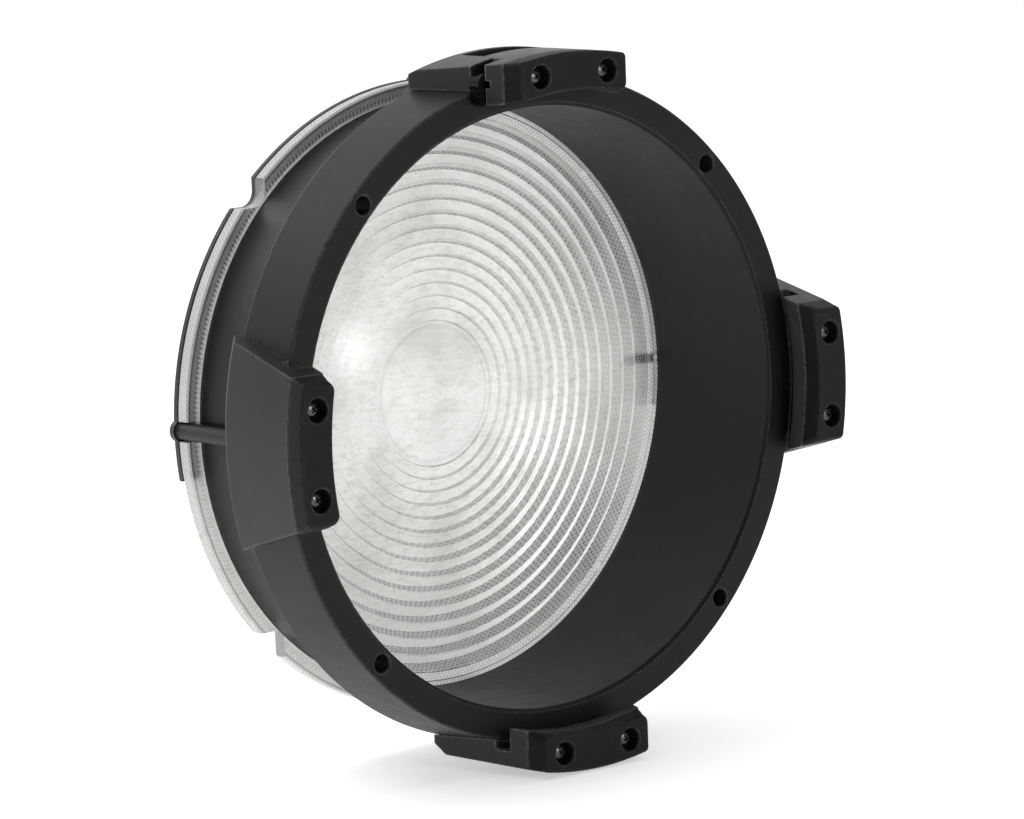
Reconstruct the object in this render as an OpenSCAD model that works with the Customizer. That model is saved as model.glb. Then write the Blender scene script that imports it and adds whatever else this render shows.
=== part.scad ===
// Fresnel lens adapter for a stage or studio spotlight: one moulded barrel,
// a moulded fresnel lens held on its rear edge by a part-ring and a tab, and
// four clips with soft bumpers that form the slot for round accessories.
// The row frame is X to the right, Y towards the spotlight, Z up.  Every piece
// is drawn with its optical axis on the local Z, front up, and fwd() turns it
// so that the front looks along -Y.  Local z = 0 is the seating plane.

/* [Barrel] */
// Outer radius of the front ring at its face
ring_r = 96; // [95.8:0.1:96.2]
// Outer radius of the skirt at its rear edge
skirt_r = 97.9; // [97.7:0.1:98.1]
// Inner radius of the tube at the front
bore_front_r = 86.9; // [86.7:0.1:87]
// Inner radius of the tube at the rear
bore_rear_r = 86.4; // [86.2:0.1:86.6]
// Distance from the seating plane to the face of the front ring
ring_z = 20.7; // [20.5:0.1:21]
// How far the tube reaches behind the seating plane
tube_back = 27.3; // [27:0.1:28]
// Wall of the skirt and of the front plate
wall = 2.4; // [2:0.1:2.6]

/* [Mounting holes] */
// Pitch circle diameter of the four mounting holes
mount_pcd = 182.9; // [182.5:0.1:183.3]
// Radius of each mounting hole
mount_hole_r = 2.65; // [2.5:0.05:2.75]
// Radius of the bosses round the mounting holes
mount_boss_r = 4.4; // [4:0.1:4.5]

/* [Lens] */
// Outer radius of the lens flange
flange_r = 92.6; // [92:0.1:92.8]
// Thickness of the lens flange
flange_t = 4.3; // [4:0.1:4.6]
// Radius of the plain centre of the lens
eye_r = 21.4; // [20:0.1:23]
// Number of prism rings round the centre
prism_count = 15; // [10:1:15]
// Slope of a prism face for each millimetre of radius
prism_slope = 0.011; // [0.005:0.0005:0.0115]
// Lean of a prism's step, as a share of its height
riser_lean = 0.48; // [0.1:0.01:0.5]
// Half-width of the square corner notches, measured from the axis
notch_xy = 61.3; // [61:0.1:63]

/* [Lens retainers] */
// Outer radius of the part-ring behind the lens
keeper_r = 92.8; // [92.4:0.1:93]
// Inner radius of the part-ring
keeper_in_r = 87.4; // [87:0.1:88]
// Thickness of the part-ring and of the lower tab
keeper_t = 1.8; // [1.5:0.1:2.2]
// Angle that the part-ring runs past the horizontal on each side
keeper_over = 9; // [6:1:14]
// Distance of the retainer bosses from the axis
post_pos = 91; // [90.8:0.1:91.2]
// Radius of the round retainer bosses
post_r = 2.6; // [2.4:0.1:2.7]

/* [Clips] */
// Outer radius of the clips
clip_r = 103.2; // [103:0.1:104]
// Half-width of a clip where its bumper ends
clip_hw_front = 19.7; // [19:0.1:20]
// Growth of that half-width for each millimetre towards the rear
clip_taper = 0.28; // [0.25:0.005:0.3]
// Rear chamfer of a clip, along the axis
chamfer_len = 3.7; // [2:0.1:5]
// Rear chamfer of a clip, towards the axis
chamfer_drop = 2.7; // [1:0.1:3]
// Rear chamfer of the top clip, along the axis
top_chamfer_len = 2.8; // [2:0.1:5]
// Rear chamfer of the top clip, towards the axis
top_chamfer_drop = 0.9; // [0.5:0.1:3]
// Width of the accessory groove along the axis
groove_w = 4.8; // [4.6:0.1:5]
// Radius of the accessory groove's floor
groove_r = 98.7; // [98.6:0.1:98.9]
// Inner radius of the lip in front of the groove
lip_r = 92; // [91.8:0.1:92.4]
// Thickness of the lip
lip_t = 5.8; // [5.5:0.1:6]
// Thickness of the soft bumper on the lip
bumper_t = 6.2; // [6:0.1:6.4]
// Distance of the bumper screws from the centre line of a clip
bumper_screw_x = 12.5; // [12:0.1:13]
// Corner radius of a bumper, away from the lens
corner_out = 1.3; // [0.8:0.1:1.8]
// Corner radius of a bumper, next to the lens
corner_in = 2.4; // [1.5:0.1:3]
// Radius of the screw recess in a bumper
bumper_recess_r = 3.3; // [3.2:0.05:3.4]

/* [Accessory latch] */
// Distance of the latch pin to the left of the centre line
latch_x = 13.5; // [13.4:0.1:13.6]
// Height of the latch pin above the axis
latch_z = 99.7; // [99.6:0.1:99.8]
// Radius of the latch pin
pin_r = 0.9; // [0.85:0.05:0.9]
// Radial running clearance of the latch on its pin
pin_play = 0.03; // [0.02:0.01:0.08]
// Number of turns in the torsion spring
spring_turns = 7; // [5:1:8]

/* [Hidden] */
$fn = 96;

gasket_t = 1;
lens_front = -tube_back - gasket_t;           // front face of the lens flange
lens_back = lens_front - flange_t;            // plain back of the lens
prism_base = lens_back + 1.6;                 // root of every prism
prism_r = [for (k = [0 : prism_count]) eye_r + 3.6 * k + 0.042 * k * k];
last_r = prism_r[prism_count];
flat_r = last_r - 2.5;                        // the last prism stops here, at the flat flange
skirt_z = 0.8;                                // rear edge of the skirt
plate_z = ring_z - wall;                      // back of the front plate
groove_z = ring_z;                            // rear wall of the groove
lip_z = groove_z + groove_w;                  // rear face of the lip
bumper_z = lip_z + lip_t;                     // joint between lip and bumper
front_z = bumper_z + bumper_t;                // front face of the bumpers
fit = 0.02;                                   // gap between bolted mouldings
block_y0 = 89.9;                              // clip foot, nearest the axis
block_z0 = 6.7;                               // clip foot, rear face
block_z1 = 14.2;                              // clip foot, front face
block_hw = 14;                                // clip foot, half-width
foot_screw_x = 9.5;
foot_screw_y = 92.6;
screw_y = 96.8;                               // bumper screws, above the axis

function hw(z) = clip_hw_front + clip_taper * (front_z - z);
// outer radius of the skirt at local height z
function skirt_at(z) = ring_r + (skirt_r - ring_r) * (ring_z - z) / (ring_z - skirt_z);

// turn a piece from front-up to front towards -Y
module fwd() { rotate([90, 0, 0]) children(); }
// put a clip piece, drawn at 12 o'clock, at another clock position
module at(deg) { rotate([0, 0, deg]) children(); }

// ---------------------------------------------------------------- barrel
module barrel() {
    color([0.075, 0.075, 0.08]) fwd()
    difference() {
        union() {
            difference() {
                rotate_extrude($fn = 180) polygon([
                    [bore_front_r + 1, ring_z], [ring_r - 0.5, ring_z], [skirt_at(ring_z - 0.5), ring_z - 0.5],
                    [skirt_r, skirt_z], [skirt_r - wall, skirt_z], [skirt_at(plate_z) - wall, plate_z],
                    [bore_front_r + wall, plate_z], [bore_rear_r + 1.6, -tube_back],
                    [bore_rear_r, -tube_back], [bore_front_r, ring_z - 1]]);
                // slots in the skirt for the feet of the clips
                for (a = [0 : 90 : 270]) at(a)
                    translate([-block_hw - 0.1, 92.3, -1]) cube([2 * block_hw + 0.2, 8, block_z1 + 1.1]);
            }
            // bosses of the mounting holes
            for (a = [45 : 90 : 315]) at(a)
                translate([0, mount_pcd / 2, 0]) cylinder(r = mount_boss_r, h = plate_z + 0.5);
            // long bosses for the lens retainers, with their webs
            for (a = [0 : 90 : 270]) at(a) {
                translate([0, post_pos, lens_back]) cylinder(r = post_r, h = plate_z - lens_back + 0.5);
                translate([-1.3, 87.2, -tube_back]) cube([2.6, post_pos - 87.2, plate_z + tube_back]);
            }
            // short bosses for the clip screws
            for (a = [0 : 90 : 270]) at(a) for (s = [-1, 1])
                translate([s * foot_screw_x, foot_screw_y, block_z1]) cylinder(r = 3, h = plate_z - block_z1 + 0.5);
        }
        for (a = [45 : 90 : 315]) at(a)
            translate([0, mount_pcd / 2, -1]) cylinder(r = mount_hole_r, h = ring_z + 2);
        for (a = [0 : 90 : 270]) at(a) {
            translate([0, post_pos, lens_back - 1]) cylinder(r = 1.1, h = 13);
            for (s = [-1, 1]) translate([s * foot_screw_x, foot_screw_y, block_z1 - 1]) cylinder(r = 1.25, h = 6);
        }
    }
}

// ---------------------------------------------------------------- lens
// square corner notch; soft gives its inner corner a radius
module corner_notch(sx, sy, soft) {
    scale_r = soft ? 4.5 : 0.2;
    translate([sx > 0 ? notch_xy : -notch_xy - 40, sy > 0 ? notch_xy + scale_r : -notch_xy - 40 - 0, lens_back - 5])
        cube([40, 40 - (sy > 0 ? scale_r : 0), flange_t + 12]);
    translate([sx > 0 ? notch_xy + scale_r : -notch_xy - 40, sy > 0 ? notch_xy : -notch_xy - 40, lens_back - 5])
        cube([40 - scale_r, 40, flange_t + 12]);
    if (soft)
        translate([sx * (notch_xy + scale_r), sy * (notch_xy + scale_r), lens_back - 5])
            cylinder(r = scale_r, h = flange_t + 12, $fn = 48);
}

module post_notches(clear) {
    for (a = [0 : 90 : 270]) at(a) {
        translate([0, post_pos, lens_back - 5]) cylinder(r = post_r + clear, h = flange_t + 12);
        translate([-post_r - clear, post_pos, lens_back - 5]) cube([2 * (post_r + clear), 10, flange_t + 12]);
    }
}

module fresnel_lens() {
    color([0.86, 0.88, 0.88, 0.6]) fwd()
    difference() {
        rotate_extrude($fn = 180) polygon(concat(
            [[0, lens_back], [flange_r, lens_back], [flange_r, lens_front - 0.4], [flange_r - 0.4, lens_front],
             [flat_r + 0.35, lens_front], [flat_r, prism_base + prism_slope * prism_r[prism_count - 1] * (last_r - flat_r)]],
            [for (k = [prism_count - 1 : -1 : 0]) each
                let (w = prism_r[k + 1] - prism_r[k], top_r = prism_r[k] + riser_lean * prism_slope * prism_r[k] * w)
                [[top_r, prism_base + prism_slope * prism_r[k] * (prism_r[k + 1] - top_r)], [prism_r[k], prism_base]]],
            [for (i = [7 : -1 : 0]) let (r = eye_r * i / 8) [r, prism_base + 0.0035 * (eye_r * eye_r - r * r)]]));
        corner_notch(-1, 1, true);
        corner_notch(1, 1, true);
        corner_notch(-1, -1, false);
        corner_notch(1, -1, false);
        post_notches(0.3);
    }
}

module lens_gasket() {
    color([0.05, 0.05, 0.05]) fwd()
    translate([0, 0, lens_front]) difference() {
        cylinder(r = 88, h = gasket_t, $fn = 180);
        translate([0, 0, -1]) cylinder(r = 86.6, h = gasket_t + 2, $fn = 180);
    }
}

// ---------------------------------------------------------------- lens retainers
module pie(r, a0, a1, h) {
    linear_extrude(h) polygon(concat([[0, 0]], [for (i = [0 : 12]) let (a = a0 + (a1 - a0) * i / 12) [r * cos(a), r * sin(a)]]));
}

module lens_retaining_ring() {
    color([0.07, 0.07, 0.075]) fwd()
    difference() {
        union() {
            intersection() {
                translate([0, 0, lens_back - keeper_t]) difference() {
                    cylinder(r = keeper_r, h = keeper_t, $fn = 180);
                    translate([0, 0, -1]) cylinder(r = keeper_in_r, h = keeper_t + 2, $fn = 180);
                }
                translate([0, 0, lens_back - 5]) pie(120, -keeper_over, 180 + keeper_over, 10);
            }
            for (a = [-90 : 90 : 90]) at(a)
                translate([0, post_pos, lens_back - keeper_t]) cylinder(r = 3.3, h = keeper_t, $fn = 48);
        }
        corner_notch(-1, 1, true);
        corner_notch(1, 1, true);
        for (a = [-90 : 90 : 90]) at(a)
            translate([0, post_pos, lens_back - 5]) cylinder(r = 1.4, h = 10);
    }
}

module lower_lens_tab() {
    color([0.07, 0.07, 0.075]) fwd()
    difference() {
        union() {
            intersection() {
                translate([0, 0, lens_back - keeper_t]) difference() {
                    cylinder(r = keeper_r, h = keeper_t, $fn = 180);
                    translate([0, 0, -1]) cylinder(r = keeper_in_r, h = keeper_t + 2, $fn = 180);
                }
                translate([0, 0, lens_back - 5]) pie(120, 262, 278, 10);
            }
            at(180) translate([0, post_pos, lens_back - keeper_t]) cylinder(r = 3.3, h = keeper_t, $fn = 48);
        }
        at(180) translate([0, post_pos, lens_back - 5]) cylinder(r = 1.4, h = 10);
    }
}

// ---------------------------------------------------------------- screws
// pan-head screw, head upwards: the head's seat is at z = 0
module pan_screw(head_r, head_h, shank_r, len) {
    difference() {
        union() {
            rotate_extrude($fn = 48) polygon([
                [0, 0], [head_r, 0], [head_r, head_h * 0.45], [head_r * 0.93, head_h * 0.75],
                [head_r * 0.72, head_h * 0.93], [head_r * 0.4, head_h], [0, head_h]]);
            translate([0, 0, -len]) cylinder(r = shank_r, h = len + 0.1, $fn = 32);
        }
        for (a = [0, 90]) rotate([0, 0, a])
            translate([-head_r * 0.58, -head_r * 0.13, head_h * 0.4]) cube([head_r * 1.16, head_r * 0.26, head_h]);
    }
}

module retaining_ring_screws() {
    color([0.12, 0.12, 0.13]) fwd()
    for (a = [-90 : 90 : 90]) at(a)
        translate([0, post_pos, lens_back - keeper_t]) rotate([180, 0, 0]) pan_screw(2.3, 1.6, 1.1, 11);
}

module lower_tab_screw() {
    color([0.12, 0.12, 0.13]) fwd()
    at(180) translate([0, post_pos, lens_back - keeper_t]) rotate([180, 0, 0]) pan_screw(2.3, 1.6, 1.1, 11);
}

module clip_screws(deg) {
    color([0.3, 0.3, 0.31]) fwd() at(deg)
    for (s = [-1, 1]) translate([s * foot_screw_x, foot_screw_y, block_z0])
        rotate([180, 0, 0]) pan_screw(2.4, 1.8, 1.25, 12);
}

module bumper_screws(deg) {
    color([0.06, 0.06, 0.065]) fwd() at(deg)
    for (s = [-1, 1]) translate([s * bumper_screw_x, screw_y, front_z - 3.8]) pan_screw(2.75, 2, 1.5, 7.2);
}

// ---------------------------------------------------------------- clips
// tapered block seen from outside, that gives a clip its slanted sides
module clip_sides(z0, z1) {
    translate([0, 110, 0]) rotate([90, 0, 0]) linear_extrude(24)
        polygon([[-hw(z0), z0], [hw(z0), z0], [hw(z1), z1], [-hw(z1), z1]]);
}

module clip_body(cl, cd) {
    difference() {
        union() {
            intersection() {
                rotate_extrude($fn = 180) polygon([
                    [clip_r, bumper_z], [clip_r, cl], [clip_r - cd, 0],
                    [skirt_r + fit + 0.08, 0], [skirt_r + fit, skirt_z], [skirt_at(ring_z - 0.5) + fit, ring_z - 0.5],
                    [skirt_at(ring_z - 0.5) + fit, groove_z], [groove_r, groove_z], [groove_r, lip_z],
                    [lip_r, lip_z], [lip_r, bumper_z]]);
                clip_sides(-1, bumper_z);
            }
            // foot that drops through the slot in the skirt
            intersection() {
                translate([-block_hw, block_y0, block_z0]) cube([2 * block_hw, 99.5 - block_y0, block_z1 - block_z0]);
                cylinder(r = 101, h = 30, $fn = 180);
            }
        }
        // room for the long retainer boss
        translate([-3.1, 88, -1]) cube([6.2, 6.3, 20]);
        for (s = [-1, 1]) {
            translate([s * foot_screw_x, foot_screw_y, block_z0 - 1]) cylinder(r = 1.45, h = block_z1 - block_z0 + 2);
            translate([s * bumper_screw_x, screw_y, lip_z + 0.6]) cylinder(r = 1.5, h = lip_t);
        }
    }
}

module plain_clip(deg) {
    color([0.08, 0.08, 0.085]) fwd() at(deg) clip_body(chamfer_len, chamfer_drop);
}

// the top clip also holds the latch: a pocket over the groove, an open
// left end, a window in the skin and the hole for the pin
module top_clip() {
    color([0.08, 0.08, 0.085]) fwd()
    difference() {
        clip_body(top_chamfer_len, top_chamfer_drop);
        // pocket over the groove, under a thin skin
        intersection() {
            translate([-40, 95, groove_z]) cube([40 - 9.9, 12, groove_w]);
            cylinder(r = 102.5, h = 60, $fn = 180);
        }
        // open left end, where the latch swings out
        translate([-40, 95, groove_z]) cube([40 - 16.3, 12, groove_w]);
        // long window behind the groove
        difference() {
            translate([-14.8, 90, 5.3]) cube([29.6, 20, 10.3]);
            cylinder(r = 99.4, h = 30, $fn = 180);
        }
        // small square notch in the end of the lip
        translate([-30, 94, lip_z - 0.1]) cube([30 - hw(lip_z) + 1.6, 2.1, 1.7]);
        // pin hole and spring pocket
        translate([-latch_x, latch_z, 2]) cylinder(r = pin_r, h = lip_z + 4 - 2);
        translate([-latch_x, latch_z, 12]) cylinder(r = 1.75, h = groove_z - 12 + 0.1);
    }
}

// ---------------------------------------------------------------- bumpers
// front outline of a bumper with rounded corners, in the plane of its face
function arc(cx, cy, r, a0, a1, n) = [for (i = [0 : n]) let (a = a0 + (a1 - a0) * i / n) [cx + r * cos(a), cy + r * sin(a)]];
module bumper_outline(h, ro, ri, rr, rq) {
    ox = h - rr;
    qx = h - rq;
    oy = sqrt(pow(ro - rr, 2) - ox * ox);
    iy = sqrt(pow(ri + rq, 2) - qx * qx);
    fo = atan2(oy, ox);
    fi = atan2(iy, qx);
    polygon(concat(
        arc(ox, oy, rr, 0, fo, 7),
        arc(0, 0, ro, fo, 180 - fo, 16),
        arc(-ox, oy, rr, 180 - fo, 180, 7),
        arc(-qx, iy, rq, 180, 360 - fi, 7),
        arc(0, 0, ri, 180 - fi, fi, 16),
        arc(qx, iy, rq, 180 + fi, 360, 7)));
}

module bumper(deg) {
    color([0.085, 0.09, 0.1]) fwd() at(deg)
    difference() {
        intersection() {
            rotate_extrude($fn = 180) polygon([
                [lip_r, bumper_z], [lip_r, front_z - 0.9], [lip_r + 0.9, front_z],
                [clip_r - 0.9, front_z], [clip_r, front_z - 0.9], [clip_r, bumper_z]]);
            clip_sides(bumper_z - 1, front_z + 1);
            translate([0, 0, bumper_z]) linear_extrude(bumper_t)
                bumper_outline(hw(bumper_z) - 0.05, clip_r + 0.3, lip_r - 0.3, corner_out, corner_in);
        }
        for (s = [-1, 1]) {
            translate([s * bumper_screw_x, screw_y, front_z - 3.8]) cylinder(r = bumper_recess_r, h = 5);
            translate([s * bumper_screw_x, screw_y, bumper_z - 1]) cylinder(r = 1.65, h = bumper_t);
        }
    }
}

// ---------------------------------------------------------------- latch
module accessory_latch() {
    t = groove_w - 0.6;
    color([0.03, 0.03, 0.032]) fwd()
    translate([0, 0, groove_z + 0.3]) difference() {
        union() {
            translate([-latch_x, latch_z, 0]) cylinder(r = 1.8, h = t);
            // arm from the hub down to the nose
            linear_extrude(t) polygon([[-latch_x - 1.5, latch_z + 0.7], [-latch_x - 3.2, latch_z - 0.8], [-21.5, 98],
                [-24.9, 93.4], [-19.2, 91], [-latch_x + 1.2, latch_z - 1.3]]);
            // round nose
            translate([-22.4, 95.2, 0]) cylinder(r = 3, h = t);
            translate([-21.7, 91.7, 0]) cylinder(r = 3.1, h = t);
            linear_extrude(t) polygon([[-25.3, 95.3], [-24.7, 91.6], [-19, 91.8], [-19.6, 95.6]]);
            // heel that stops the nose against the skin of the clip
            linear_extrude(t) polygon([[-latch_x + 0.2, latch_z + 1.6], [-latch_x + 1.5, latch_z - 0.6],
                [-latch_x + 2.7, latch_z + 0.6], [-latch_x + 2.35, latch_z + 2.05]]);
        }
        translate([-latch_x, latch_z, -1]) cylinder(r = pin_r + pin_play, h = groove_w + 2);
        // hole for the leg of the spring
        translate([-latch_x - 1.37, latch_z, -1]) cylinder(r = 0.28, h = 2.6, $fn = 24);
    }
}

module latch_pin() {
    color([0.55, 0.55, 0.57]) fwd()
    translate([-latch_x, latch_z, 2.4]) cylinder(r = pin_r, h = lip_z + 3.6 - 2.4);
}

// torsion spring: a close coil round the pin with an axial leg into the latch
spring_wire = 0.19;
spring_mean = 1.37;
spring_top = groove_z - 0.25;
spring_pitch = 0.62;
function coil_pt(t) = [-latch_x - spring_mean * cos(360 * t), latch_z - spring_mean * sin(360 * t), spring_top - spring_pitch * t];
coil_path = concat(
    [[-latch_x - spring_mean, latch_z, groove_z + 1.2], [-latch_x - spring_mean, latch_z, groove_z + 0.2]],
    [for (i = [0 : spring_turns * 14]) coil_pt(i / 14)]);
module latch_spring() {
    n = len(coil_path);
    m = 6;
    dirs = [for (i = [0 : n - 1]) let (a = coil_path[max(i - 1, 0)], b = coil_path[min(i + 1, n - 1)], d = b - a) d / norm(d)];
    out = [for (i = [0 : n - 1]) let (p = coil_path[i], v = [p[0] + latch_x, p[1] - latch_z, 0]) v / norm(v)];
    rings = [for (i = [0 : n - 1]) let (u = out[i] - (out[i] * dirs[i]) * dirs[i], un = u / norm(u), w = cross(dirs[i], un))
        [for (j = [0 : m - 1]) coil_path[i] + spring_wire * (cos(360 * j / m) * un + sin(360 * j / m) * w)]];
    pts = [for (r = rings) each r];
    color([0.6, 0.6, 0.62]) fwd()
    polyhedron(points = pts, faces = concat(
        [[for (j = [0 : m - 1]) j]],
        [for (i = [0 : n - 2]) for (j = [0 : m - 1]) let (a = i * m + j, b = i * m + (j + 1) % m) each [[a, a + m, b], [b, a + m, b + m]]],
        [[for (j = [m - 1 : -1 : 0]) (n - 1) * m + j]]), convexity = 10);
}

barrel();
fresnel_lens();
lens_gasket();
lens_retaining_ring();
retaining_ring_screws();
lower_lens_tab();
lower_tab_screw();
top_clip();
plain_clip(-90);  // right_clip
plain_clip(180);  // bottom_clip
plain_clip(90);  // left_clip
clip_screws(0);  // top_clip_screws
clip_screws(-90);  // right_clip_screws
clip_screws(180);  // bottom_clip_screws
clip_screws(90);  // left_clip_screws
bumper(0);  // top_bumper
bumper(-90);  // right_bumper
bumper(180);  // bottom_bumper
bumper(90);  // left_bumper
bumper_screws(0);  // top_bumper_screws
bumper_screws(-90);  // right_bumper_screws
bumper_screws(180);  // bottom_bumper_screws
bumper_screws(90);  // left_bumper_screws
accessory_latch();
latch_pin();
latch_spring();
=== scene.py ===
# Looks of a fresnel lens adapter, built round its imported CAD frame.
import math
import bpy
import bmesh
from mathutils import Matrix, Vector


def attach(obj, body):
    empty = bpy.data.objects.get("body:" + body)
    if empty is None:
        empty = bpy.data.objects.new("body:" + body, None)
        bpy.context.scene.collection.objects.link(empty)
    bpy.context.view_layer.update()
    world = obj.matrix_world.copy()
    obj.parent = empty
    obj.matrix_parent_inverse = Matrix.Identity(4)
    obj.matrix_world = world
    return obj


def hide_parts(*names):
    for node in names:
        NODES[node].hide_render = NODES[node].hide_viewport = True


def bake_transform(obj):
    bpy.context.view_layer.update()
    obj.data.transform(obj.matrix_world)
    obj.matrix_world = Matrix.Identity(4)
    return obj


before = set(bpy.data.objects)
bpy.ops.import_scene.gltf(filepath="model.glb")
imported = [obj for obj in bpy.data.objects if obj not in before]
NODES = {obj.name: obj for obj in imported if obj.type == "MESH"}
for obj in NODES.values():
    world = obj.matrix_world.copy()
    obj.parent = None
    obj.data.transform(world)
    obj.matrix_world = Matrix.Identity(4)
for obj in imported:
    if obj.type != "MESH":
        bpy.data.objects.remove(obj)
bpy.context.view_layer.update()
BODY = "adapter"
scene = bpy.context.scene
FWD = Matrix(((1, 0, 0, 0), (0, 0, -1, 0), (0, 1, 0, 0), (0, 0, 0, 1)))  # piece axes -> row axes
MM = 0.001

# ------------------------------------------------------------------ dimensions, mm, as in the CAD
RING_R, SKIRT_R, BORE_F, BORE_R = 96.0, 97.9, 86.9, 86.4
RING_Z, TUBE_BACK, WALL, SKIRT_Z = 20.7, 27.3, 2.4, 0.8
PLATE_Z = RING_Z - WALL
MOUNT_R, HOLE_R, BOSS_R = 182.9 / 2, 2.65, 4.4
FLANGE_R, FLANGE_T = 92.6, 4.3
LENS_F = -TUBE_BACK - 1.0
LENS_B = LENS_F - FLANGE_T
PRISM_BASE = LENS_B + 1.6
EYE_R = 21.4
PRISM_R = [EYE_R + 3.6 * k + 0.042 * k * k for k in range(16)]
SLOPE, LEAN = 0.011, 0.48  # of the prisms and of the risers between them
NOTCH = 61.3
POST, POST_R = 91.0, 2.6
CLIP_R, GROOVE_R, LIP_R = 103.2, 98.7, 92.0
GROOVE_Z, LIP_Z, BUMP_Z, FRONT_Z = 20.7, 25.5, 31.3, 37.5
SCREW_X, SCREW_Y, RECESS_R = 12.5, 96.8, 3.3
LATCH_X, LATCH_Y = 13.5, 99.7
TURNS = 7  # of the latch spring


def hw(z):
    return 19.7 + 0.28 * (FRONT_Z - z)


def skirt_at(z):
    return RING_R + (SKIRT_R - RING_R) * (RING_Z - z) / (RING_Z - SKIRT_Z)


# ------------------------------------------------------------------ mesh helpers
def rounded(pts, radii, seg=3):
    out, n = [], len(pts)
    for i in range(n):
        p, a, b = Vector(pts[i]), Vector(pts[i - 1]), Vector(pts[(i + 1) % n])
        r = radii[i] if isinstance(radii, (list, tuple)) else radii
        u, v = a - p, b - p
        lu, lv = u.length, v.length
        u.normalize()
        v.normalize()
        ang = u.angle(v)
        if r <= 0 or ang > math.radians(176):
            out.append((p.x, p.y))
            continue
        t = min(r / math.tan(ang / 2), lu * 0.48, lv * 0.48)
        rr = t * math.tan(ang / 2)
        c = p + (u + v).normalized() * (rr / math.sin(ang / 2))
        s, e = p + u * t, p + v * t
        a0, a1 = math.atan2(s.y - c.y, s.x - c.x), math.atan2(e.y - c.y, e.x - c.x)
        d = (a1 - a0 + math.pi) % (2 * math.pi) - math.pi
        for k in range(seg + 1):
            q = a0 + d * k / seg
            out.append((c.x + rr * math.cos(q), c.y + rr * math.sin(q)))
    return out


def area2(p):
    return sum(p[i - 1][0] * p[i][1] - p[i][0] * p[i - 1][1] for i in range(len(p)))


def inset(poly, d):
    """the polygon pulled in by d, corner for corner"""
    n = len(poly)
    sign = 1 if area2(poly) > 0 else -1
    out = []
    for i in range(n):
        p, a, b = Vector(poly[i]), Vector(poly[i - 1]), Vector(poly[(i + 1) % n])
        u, v = (p - a).normalized(), (b - p).normalized()
        nu, nv = Vector((-u.y, u.x)) * sign, Vector((-v.y, v.x)) * sign
        m = nu + nv
        k = d / max(0.35, 1 + nu.dot(nv))
        out.append((p.x + m.x * k, p.y + m.y * k))
    return out


def revolve(prof, n=288, a0=0.0, a1=360.0, mats=None):
    bm = bmesh.new()
    full = a1 - a0 > 359.99
    m = n if full else n + 1
    rings = []
    for j in range(m):
        t = math.radians(a0 + (a1 - a0) * j / n)
        rings.append([bm.verts.new((r * math.cos(t), r * math.sin(t), z)) for r, z in prof])
    k = len(prof)
    for j in range(n):
        A, B = rings[j], rings[(j + 1) % m]
        for i in range(k):
            f = bm.faces.new((A[i], B[i], B[(i + 1) % k], A[(i + 1) % k]))
            if mats:
                f.material_index = mats[i]
    if not full:
        bm.faces.new(rings[0])
        bm.faces.new(list(reversed(rings[-1])))
    return bm


def loft(rings, cap=True):
    bm = bmesh.new()
    R = [[bm.verts.new(p) for p in ring] for ring in rings]
    k = len(rings[0])
    for A, B in zip(R, R[1:]):
        for i in range(k):
            bm.faces.new((A[i], A[(i + 1) % k], B[(i + 1) % k], B[i]))
    if cap:
        bm.faces.new(list(reversed(R[0])))
        bm.faces.new(R[-1])
    return bm


def prism(poly, z0, z1):
    return loft([[(x, y, z0) for x, y in poly], [(x, y, z1) for x, y in poly]])


def rod(x, y, z0, z1, r, n=48, r1=None):
    r1 = r if r1 is None else r1
    c = [(math.cos(2 * math.pi * i / n), math.sin(2 * math.pi * i / n)) for i in range(n)]
    return loft([[(x + r * a, y + r * b, z0) for a, b in c], [(x + r1 * a, y + r1 * b, z1) for a, b in c]])


def box(x0, y0, z0, x1, y1, z1):
    return prism([(x0, y0), (x1, y0), (x1, y1), (x0, y1)], z0, z1)


def spin(bm, deg):
    bmesh.ops.rotate(bm, verts=bm.verts, cent=(0, 0, 0), matrix=Matrix.Rotation(math.radians(deg), 3, "Z"))
    return bm


def obj_of(bm, name="tmp"):
    bmesh.ops.recalc_face_normals(bm, faces=bm.faces)
    me = bpy.data.meshes.new(name)
    bm.to_mesh(me)
    bm.free()
    o = bpy.data.objects.new(name, me)
    scene.collection.objects.link(o)
    return o


def solid(base, cuts=(), adds=()):
    """base with the add solids joined and then the cut solids taken away, as one bmesh"""
    o = obj_of(base)
    for group, op in ((adds, "UNION"), (cuts, "DIFFERENCE")):
        tools = [obj_of(t) for t in group]
        for t in tools:
            m = o.modifiers.new("b", "BOOLEAN")
            m.operation, m.object, m.solver = op, t, "MANIFOLD"
        dg = bpy.context.evaluated_depsgraph_get()
        dg.update()
        me = bpy.data.meshes.new_from_object(o.evaluated_get(dg))
        o.modifiers.clear()
        o.data = me
        for t in tools:
            bpy.data.objects.remove(t)
    bm = bmesh.new()
    bm.from_mesh(o.data)
    bpy.data.objects.remove(o)
    return bm


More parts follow.
